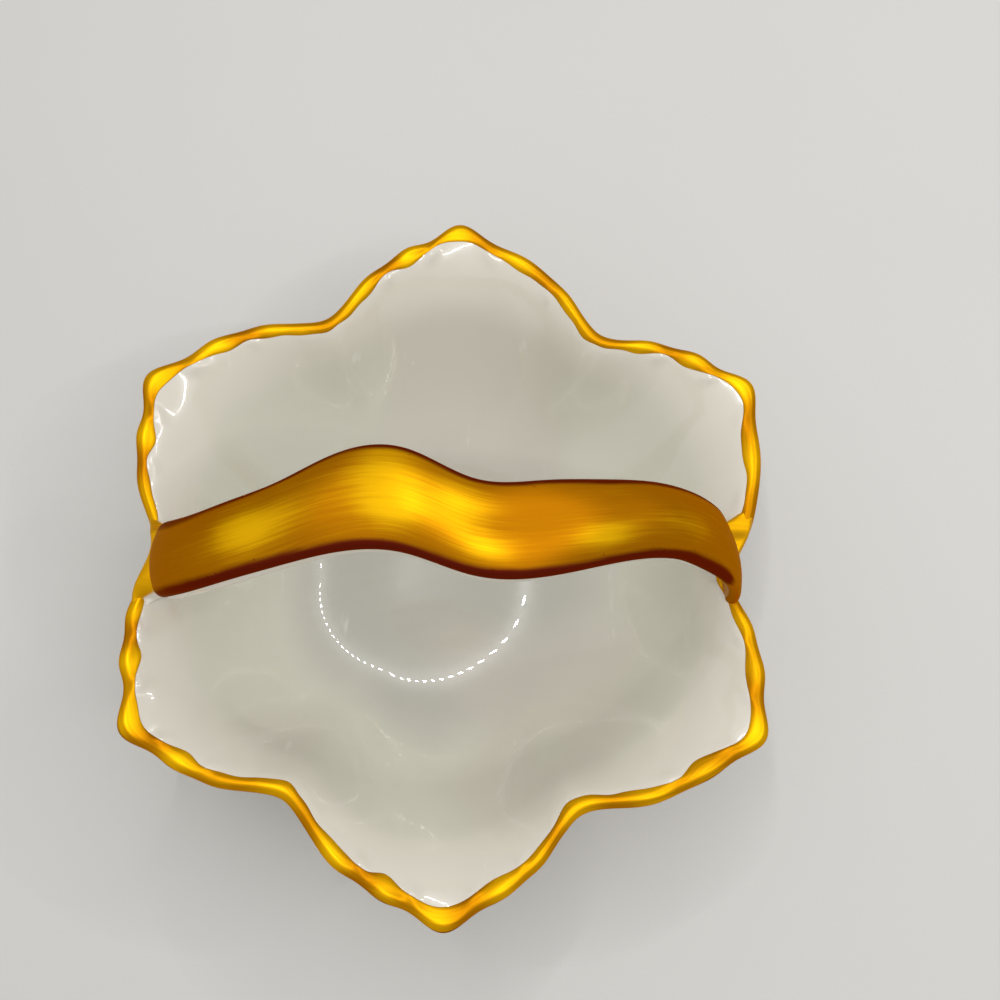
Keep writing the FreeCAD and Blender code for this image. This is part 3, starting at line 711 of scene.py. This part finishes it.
# %% [markdown]
# ## The porcelain strap
# Under the gold the strap is the same white porcelain as the bowl. Its near side is squarer: a thin
# white corner shows there below the gold, most of all along the left arm. Towards the right foot the
# corner is round again, and there the gold goes all the way round. A cut with a Boolean would leave a
# hard edge, so the corner is part of each section: a curve between a circle and a square.

# %% Porcelain strap
CORNER_PLAIN, CORNER_LEFT = 0.16 * MM, 0.20 * MM
CORNER_ROUND, CORNER_SQUARE = 2.0, 6.0
SQUARE_TO, SQUARE_FADE = 135.0, 30.0
LEFT_ARM, LEFT_ARM_SPREAD = 34.0, 24.0
GILT_FROM, GILT_RUN, FOOT_GOLD_TONE = 160.0, 16.0, 0.25
STRAP_ENDS = [0] + list(range(STRAP_STEPS)) + [-1]


def near_corner(width, edge, out, power):
    """Points down the near side from the height of the edge's middle to the underside."""
    down = np.sin(np.linspace(0, math.pi / 2, EDGE_POINTS)[1:])
    reach = (edge + out * np.minimum(1, 2 * down)) * (1 - down ** power) ** (1 / power)
    return np.stack([edge - width / 2 - reach, edge * (1 - down) - STRAP_THICKNESS / 2], axis=-1)


def porcelain_strap():
    """A skin over the bare sections, from the left foot to the right one."""
    sections = []
    stations = zip(strap_width, strap_thickness, strap_edge, corner_out, corner_share)
    for width, thickness, edge, out, square in stations:
        top = over_top(width, thickness, edge, 0.0, -math.pi / 2, 0.0)
        power = CORNER_ROUND + (CORNER_SQUARE - CORNER_ROUND) * square
        side = np.concatenate([top, near_corner(width, edge, out, power)])
        share = np.linspace(0, 1, UNDER_POINTS)[1:-1, None]
        sections.append(np.concatenate([side, side[-1] * (1 - share) + side[0] * share]))
    piece = skin("porcelain_strap", lay_along(sections))
    across = np.array(sections)[STRAP_ENDS, :, 0]
    map_brush(piece, strap_along[STRAP_ENDS][:, None], across, 0.0, FOOT_GOLD_TONE)
    gilt = soft_step((strap_turns[STRAP_ENDS] - GILT_FROM) / GILT_RUN)
    mark_gilt(piece, np.broadcast_to(gilt[:, None], across.shape))
    return piece


corner_share = 1 - soft_step((strap_turns - SQUARE_TO) / SQUARE_FADE)
corner_bulge = np.exp(-((strap_turns - LEFT_ARM) / LEFT_ARM_SPREAD) ** 2)
corner_out = CORNER_PLAIN * corner_share + CORNER_LEFT * corner_bulge
dress(porcelain_strap(), "handle_strap", gilded_porcelain("gilded_strap_foot"))

# %% [markdown]
# ## Gold on the strap
# The gold covers the strap's crown and most of its edges. It could be a second material on the
# porcelain, but the CAD model has it as a piece of its own. So it is a thin shell that sinks into the
# porcelain at its two borders, where no step shows, as with a fired film. Its colour has painted
# highlights in patches and painted shade near its edges. Each highlight is listed with its degrees along
# the arch, its place across as a share of half the width, its length in degrees, its width as a share and
# its strength.

# %% Gilded strap
GILT_SUNK = 0.06 * MM
FAR_BORDER = math.radians(-20)
NEAR_BORDER, NEAR_BORDER_RIGHT = math.radians(-3), math.radians(-95)
BORDER_TURNS, BORDER_RUN = 140.0, 25.0
NEAR_SHADE, NEAR_SHADE_TO, NEAR_SHADE_FADE = 2.0 * MM, 158.0, 16.0
FAR_SHADE, FAR_SHADE_LEFT, LEFT_SHADE_TO, LEFT_SHADE_FADE = 1.5 * MM, 1.3 * MM, 25.0, 35.0
FILM_POWER = 10
PAINTED_HIGHLIGHTS = [
    (56, -0.10, 9.5, 0.55, 0.97), (81, 0.30, 7.0, 0.70, 0.80), (82, -0.25, 5.0, 0.32, 0.95),
    (94, 0.20, 6.0, 0.60, 0.68), (98, -0.50, 5.0, 0.28, 0.62), (120, -0.35, 6.5, 0.28, 0.80),
    (138, -0.10, 12.0, 0.40, 0.35),
]


def feathered(count):
    """A film's height over the surface: full in the middle, and sunk at both borders."""
    place = np.linspace(-1, 1, count)
    return GILT - (GILT + GILT_SUNK / 2) * np.abs(place) ** FILM_POWER


def painted_highlight_of(turn, share):
    """Painted highlight on the strap at a turn along it and a share of its half width across it."""
    dull = 1.0
    for spot_turn, spot_share, length, width, strength in PAINTED_HIGHLIGHTS:
        away = ((turn - spot_turn) / length) ** 2 + ((share - spot_share) / width) ** 2
        dull = dull * (1 - strength * np.exp(-away))
    return 1 - dull


def gilded_strap():
    """A closed shell over the crown and the edges."""
    sections, edges, painted_highlight = [], [], []
    count = 2 * EDGE_POINTS + CROWN_POINTS - 2
    for turn, width, thickness, edge in zip(strap_turns, strap_width, strap_thickness, strap_edge):
        at_right = soft_step((turn - BORDER_TURNS) / BORDER_RUN)
        near_border = NEAR_BORDER + (NEAR_BORDER_RIGHT - NEAR_BORDER) * at_right
        film = over_top(width, thickness, edge, feathered(count), FAR_BORDER, near_border)
        bed = over_top(width, thickness, edge, -GILT_SUNK, FAR_BORDER, near_border)
        section = np.concatenate([film, bed[::-1]])
        sections.append(section)
        from_far, from_near = width / 2 - section[:, 0], width / 2 + section[:, 0]
        near_left = 1 - soft_step((turn - NEAR_SHADE_TO) / NEAR_SHADE_FADE)
        near_shade = (1 - from_near / NEAR_SHADE) * near_left
        far_left = 1 - soft_step((turn - LEFT_SHADE_TO) / LEFT_SHADE_FADE)
        far_shade = 1 - from_far / (FAR_SHADE + FAR_SHADE_LEFT * far_left)
        edges.append(np.clip(np.maximum(far_shade, near_shade), 0, 1))
        # Painted highlights in patches along the strap.
        painted_highlight.append(painted_highlight_of(turn, section[:, 0] / (width / 2)))
    piece = skin("gilded_strap", lay_along(sections))
    map_brush(piece, strap_along[STRAP_ENDS][:, None], np.array(sections)[STRAP_ENDS, :, 0],
              np.array(edges)[STRAP_ENDS], np.array(painted_highlight)[STRAP_ENDS])
    return piece


dress(gilded_strap(), "handle_gilding", strap_gold)

# %% [markdown]
# ## The slip joints
# A strap is stuck to a rim with slip, a cream of the same clay, smoothed with a wet brush. So the joint
# is a soft collar round the strap's foot, and it runs out along the rim on both sides. Metaballs or a
# remesh could melt the strap and the rim together, but the joint is a piece of its own, so it is a skin
# over sections across the rim. Each is a smooth loop round a few corners, which go over from the
# corners of the collar to a small round inside the rim. The gold of the rim runs over the collars, and
# each corner has a share of it.

# %% Slip joints
JOINT_STEPS, LOOP_POINTS = 61, 48
COLLAR, COLLAR_CLIMB, CLIMB_RUN = 0.10 * MM, 0.8 * MM, 2.5 * MM
SAG_START, SAG_RUN, SAG_IN, SAG_DOWN = 0.5 * MM, 1.2 * MM, 0.5, 0.9
COLLAR_INNER_LOW, COLLAR_OUTER_LOW = (-1.3 * MM, -2.2 * MM), (-0.9 * MM, -2.0 * MM)
COLLAR_HEEL, COLLAR_TUCK, COLLAR_SHOULDER = -0.2 * MM, (0.5 * MM, -0.8 * MM), 0.4 * MM
INNER_WAIST, OUTER_WAIST, SHOULDER_CLIMB = 0.6, 0.5, 0.4
SLIP_GOLD_TONE = 0.55
LIP_SEARCHES = 30
ROOT_RADIUS = 1.05 * MM
ROOT_TURNS = np.radians([-110, 195, 160, 130, 105, 75, 50, 20, -15, -60])
GILT_OVER_TOP = np.array([0, 0, 0, 0, 0.1, 0.9, 1, 1, 1, 0.4])
GILT_ALL_ROUND = np.array([0, 0.6, 1, 1, 1, 1, 1, 1, 1, 0.4])


def reach_beside(y, side):
    """How far out along X and how high the middle of the lip is beside a place on Y."""
    x = VALLEY_RADIUS
    for _ in range(LIP_SEARCHES):
        radius, height = middle_line(1.0, math.atan2(y, side * x))
        x = math.sqrt(radius ** 2 - y ** 2)
    return x, height


def soft_loop(corners, count):
    """A smooth closed curve that rounds off its corners: a uniform cubic B-spline."""
    corners = np.asarray(corners, float)
    places = np.arange(count) * len(corners) / count
    base, u = places.astype(int), (places % 1)[:, None]
    before, here, after, beyond = (corners[(base + k) % len(corners)] for k in (-1, 0, 1, 2))
    return ((1 - u) ** 3 * before + (3 * u ** 3 - 6 * u ** 2 + 4) * here
            + (-3 * u ** 3 + 3 * u ** 2 + 3 * u + 1) * after + u ** 3 * beyond) / 6


def collar_corners(inner, outer, top, from_edge, sag):
    """Corners of the collar round the foot, from the inside of the wall over the top to the outside."""
    climb = COLLAR_CLIMB * soft_step(-from_edge / CLIMB_RUN)
    outer = max(outer, WALL / 2)
    sagged = sag * soft_step((from_edge + SAG_START) / SAG_RUN)
    inner, inner_top = inner * (1 - SAG_IN * sagged), top * (1 - SAG_DOWN * sagged)
    return np.array([
        COLLAR_INNER_LOW,
        (inner - COLLAR, COLLAR_HEEL),
        (inner - COLLAR, INNER_WAIST * inner_top),
        (inner - COLLAR, inner_top + SHOULDER_CLIMB * climb),
        (inner + COLLAR_SHOULDER, inner_top + climb),
        (outer - COLLAR_SHOULDER, top + climb),
        (outer + COLLAR, top + SHOULDER_CLIMB * climb),
        (outer + COLLAR, OUTER_WAIST * top),
        (WALL / 2 - COLLAR_TUCK[0], COLLAR_TUCK[1]),
        COLLAR_OUTER_LOW,
    ])


def slip_joint(name, side, station, far_run, near_run, sag, gilt):
    """A collar between one foot of the strap and the rim, which runs out along the rim to both sides."""
    shift, half_width = strap_shift[station], strap_width[station] / 2
    half_thick = (STRAP_THICKNESS - strap_thin[station]) / 2
    root = np.stack([ROOT_RADIUS * np.cos(ROOT_TURNS), ROOT_RADIUS * np.sin(ROOT_TURNS)], axis=-1)
    rings = []
    for y in np.linspace(shift - half_width - near_run[1], shift + half_width + far_run[1], JOINT_STEPS):
        start, end = far_run if y > shift else near_run
        from_edge = abs(y - shift) - half_width
        full = soft_step((end - from_edge) / (end - start))
        lip, level = reach_beside(y, side)
        to_near = np.clip(0.5 - (y - shift) / (2 * half_width), 0, 1)
        foot = HALF_SPAN + strap_lean[station] * to_near - lip
        collar = collar_corners(foot - half_thick, foot + half_thick, FOOT_LEVEL - level, from_edge, sag)
        loop = soft_loop(full * collar + (1 - full) * root, LOOP_POINTS)
        x, z = side * (lip + loop[:, 0]), level + loop[:, 1]
        rings.append(np.stack([x, np.full(LOOP_POINTS, y), z], axis=-1))
    rings = np.array(rings)
    piece = skin(name, rings)
    map_brush(piece, rings[..., 1], rings[..., 2], 0.0, SLIP_GOLD_TONE)
    mark_gilt(piece, np.tile(soft_loop(gilt[:, None], LOOP_POINTS)[:, 0], JOINT_STEPS))
    return piece


slip_finish = gilded_porcelain("gilded_slip")
left_joint = slip_joint(
    "left_slip", side=-1, station=0, far_run=(-2.0 * MM, 1.4 * MM), near_run=(-1.2 * MM, 2.6 * MM),
    sag=1.0, gilt=GILT_OVER_TOP)
right_joint = slip_joint(
    "right_slip", side=1, station=-1, far_run=(-1.5 * MM, 3.4 * MM), near_run=(-5.0 * MM, -1.6 * MM),
    sag=0.0, gilt=GILT_ALL_ROUND)
dress(left_joint, "left_handle_joint", slip_finish)
dress(right_joint, "right_handle_joint", slip_finish)

# %% [markdown]
# ## Gold on the rim
# The rim's gold is a line painted by hand over the lip. On each scallop's bead the brush spreads, so
# the line is wider there and its inner border is lobed, and in the dents the glaze shows further up the
# lip. It is widest at the tips, most of all in front, and narrow beside the left foot. A curve with a
# bevel would lie on the rim like a wire. So it is a shell like the strap's, laid on the wall's own
# formula, with both borders sunk in the glaze. The back band and the front band meet under the strap's
# feet.

# %% Gilded rim
NECK, LOBE, GILT_OUTSIDE = 0.50 * MM, 0.72 * MM, 2.0 * MM
LINE_GAIN = 1.5
TIP_SPREAD, TIP_MEAN, TIP_FRONT, TIP_POWER = 0.75 * MM, 0.6, 0.4, 8
LEFT_TAPER, TAPER_SPREAD = 0.6 * MM, 0.22
VALLEY_BORDER = 0.42 * MM
WANDER, WANDER_WAVES, OUTSIDE_PHASE = 0.10 * MM, [(17, 0.7, 1.0), (29, 2.0, 0.7), (61, 0.0, 0.5)], 1.0
RIM_SHADE_FROM, RIM_SHADE_RUN = 0.33, 0.2
RIM_GOLD_TONE, BEAD_HIGHLIGHT, GOLD_TONE_WAVES = 0.24, 0.45, [(23, 1.0, 0.15)]
RIM_STEPS, RIM_POINTS = 720, 34
RIM_WIDTH, RIM_GAP = 5.0 * MM, 0.02 * MM


def hand_wander(angle):
    """The small unsteadiness of a hand-painted line."""
    return WANDER * waver(angle, WANDER_WAVES)


def over_lip(inner, outer, angles, count):
    """Steps and turns along a path over the lip, with how far down the inside and outside it goes."""
    ends = [middle_line(t, angles) for t in (1.0 - TINY_STEP, 1.0)]
    speed = np.hypot(ends[1][0] - ends[0][0], ends[1][1] - ends[0][1]) / TINY_STEP
    half_round = math.pi * WALL / 2
    share = np.linspace(0, 1, count)[None, :]
    path = -inner[:, None] + share * (inner + half_round + outer)[:, None]
    down = np.maximum(0, np.maximum(-path, path - half_round)) / speed[:, None]
    return 1 - down, np.clip(path / (WALL / 2), 0, math.pi)


def gilded_rim(name, start, end):
    """A closed shell over the lip between two angles."""
    angles = np.linspace(start, end, RIM_STEPS)
    share = petal_share(petal_angle(angles)[0])
    petal = np.clip(LINE_GAIN * share, 0, 1)
    inner = (1 - petal) * VALLEY_BORDER + petal * (NECK + LOBE * bead(angles)) + hand_wander(angles)
    inner = inner + TIP_SPREAD * (TIP_MEAN - TIP_FRONT * np.sin(angles)) * share ** TIP_POWER
    inner = inner - LEFT_TAPER * np.exp(-((angles - math.pi) / TAPER_SPREAD) ** 2)
    outer = GILT_OUTSIDE + hand_wander(angles + OUTSIDE_PHASE)
    steps, turns = over_lip(inner, outer, angles, RIM_POINTS)
    film = wall_face(steps, turns, angles[:, None], feathered(RIM_POINTS)[None, :])
    bed = wall_face(steps, turns, angles[:, None], -GILT_SUNK)
    piece = skin(name, np.concatenate([film, bed[:, ::-1]], axis=1))
    across = np.linspace(0, 1, RIM_POINTS)
    across = np.concatenate([across, across[::-1]])[None, :]
    along = angles[:, None] * (TIP_RADIUS + VALLEY_RADIUS) / 2
    # Painted shade darkens the gold from the top of the lip down its outside.
    edge = np.clip((across - RIM_SHADE_FROM) / RIM_SHADE_RUN, 0, 1)
    # Painted highlight brightens the gold on each bead; the waves vary its tone at random.
    painted_highlight = RIM_GOLD_TONE + BEAD_HIGHLIGHT * bead(angles) + waver(angles, GOLD_TONE_WAVES)
    map_brush(piece, along, across * RIM_WIDTH, edge, painted_highlight[:, None])
    return piece


def rim_angle(side, y):
    """The rim's angle beside a place on Y: close to 0 on the right, and to half a turn on the left."""
    swing = math.atan2(y, reach_beside(y, side)[0])
    return swing if side > 0 else math.pi - swing


def foot_side(station, direction):
    """Where along Y the rim's gold ends: under the middle of a foot, a hair short of the other band."""
    return strap_shift[station] + direction * RIM_GAP / 2


back = gilded_rim("gilded_rim_back", rim_angle(1, foot_side(-1, 1)), rim_angle(-1, foot_side(0, 1)))
front_end = rim_angle(1, foot_side(-1, -1)) + 2 * math.pi
front = gilded_rim("gilded_rim_front", rim_angle(-1, foot_side(0, -1)), front_end)
dress(back, "back_rim_gilding", rim_gold)
dress(front, "front_rim_gilding", rim_gold)

# %% [markdown]
# ## Floor
# The floor is a plain pale sheet, only there to stand on and to catch the shadow. One large face is
# enough, because its paper grain is in the finish.

# %% Floor
FLOOR_PALE = srgb(214, 212, 208)
FLOOR_SHADE = srgb(204, 202, 198)
FLOOR_HALF = 3.0
PAPER_CLOUD_SCALE, PAPER_GRAIN_SCALE, PAPER_DEPTH, PAPER_ROUGH = 6.0, 1800.0, 0.02 * MM, 0.85


def pale_floor():
    """Pale matt paper with the faintest cloud."""
    finish = Finish("pale_floor")
    cloud = finish.noise(finish.place(), PAPER_CLOUD_SCALE, detail=3.0)
    grain = finish.noise(finish.place(), PAPER_GRAIN_SCALE)
    colour = finish.mix(cloud, FLOOR_PALE, FLOOR_SHADE)
    return finish.finish(grain, PAPER_DEPTH, Base_Color=colour, Roughness=PAPER_ROUGH)


corners = [(FLOOR_HALF * x, FLOOR_HALF * y, 0.0) for x, y in ((-1, -1), (1, -1), (1, 1), (-1, 1))]
floor_mesh = bpy.data.meshes.new("floor")
floor_mesh.from_pydata(corners, [], [(0, 1, 2, 3)])
floor = bpy.data.objects.new("floor", floor_mesh)
bpy.context.scene.collection.objects.link(floor)
floor.data.materials.append(pale_floor())
print("floor", 2 * FLOOR_HALF, "m wide")

# %% [markdown]
# ## Light
# A ring lamp of small bulbs hangs over the dish, a large soft box hangs to its left, and an even grey
# world fills the shadows. One sun lamp would leave the gold dark, because gold and glaze mostly show
# what they reflect: the ring draws thin bright loops in the glaze and broad satin streaks on the gold.

# %% Light
RING_MIDDLE, RING_RADIUS = (0.15, 0.09, 0.43), 0.22
BULBS, BULB_SIZE, RING_WATTS = 64, 0.008, 1.6
SIDE_PLACE, SIDE_SIZE, SIDE_WATTS = (-0.75, -0.20, 0.65), 1.8, 1.8
WORLD_GREY = (0.49, 0.49, 0.49, 1.0)


def hang_lamp(name, lamp, place, aim):
    """Hang a lamp at a place and turn it towards another."""
    holder = bpy.data.objects.new(name, lamp)
    holder.location = place
    holder.rotation_euler = (Vector(aim) - Vector(place)).to_track_quat("-Z", "Y").to_euler()
    bpy.context.scene.collection.objects.link(holder)


bulb = bpy.data.lights.new("ring_bulb", "AREA")
bulb.shape, bulb.size, bulb.energy = "DISK", BULB_SIZE, RING_WATTS / BULBS
for number in range(BULBS):
    turn = 2 * math.pi * number / BULBS
    across, along = RING_RADIUS * math.cos(turn), RING_RADIUS * math.sin(turn)
    place = Vector(RING_MIDDLE) + Vector((across, along, 0.0))
    hang_lamp("ring_bulb", bulb, place, place - Vector((0.0, 0.0, 1.0)))

side_box = bpy.data.lights.new("side_box", "AREA")
side_box.size, side_box.energy = SIDE_SIZE, SIDE_WATTS
hang_lamp("side_box", side_box, SIDE_PLACE, (0.0, 0.0, 0.0))

world = bpy.data.worlds.new("studio")
bpy.context.scene.world = world
world.use_nodes = True
world.node_tree.nodes["Background"].inputs["Color"].default_value = WORLD_GREY
print("bulbs:", BULBS)

# %% [markdown]
# ## Camera
# The photograph was taken from close above, tipped a little towards the front. Placing the camera by
# eye would never fit all round the rim, so its place was found by matching the six petal tips and the
# valleys between them.

# %% Camera
FOCAL_LENGTH, SENSOR_WIDTH = 43.2, 36.0
NEAREST = 10.0 * MM
CAMERA_PLACE, CAMERA_TILT = (0.0058, -0.0339, 0.1954), (14.09, -0.87, 1.31)

lens = bpy.data.cameras.new("camera")
lens.lens, lens.sensor_width = FOCAL_LENGTH, SENSOR_WIDTH
lens.clip_start = NEAREST
camera = bpy.data.objects.new("camera", lens)
camera.location = CAMERA_PLACE
camera.rotation_euler = [math.radians(angle) for angle in CAMERA_TILT]
bpy.context.scene.collection.objects.link(camera)
bpy.context.scene.camera = camera
bpy.context.scene.view_settings.view_transform = "Standard"
print("camera", round(camera.location.z / MM), "mm above the table")
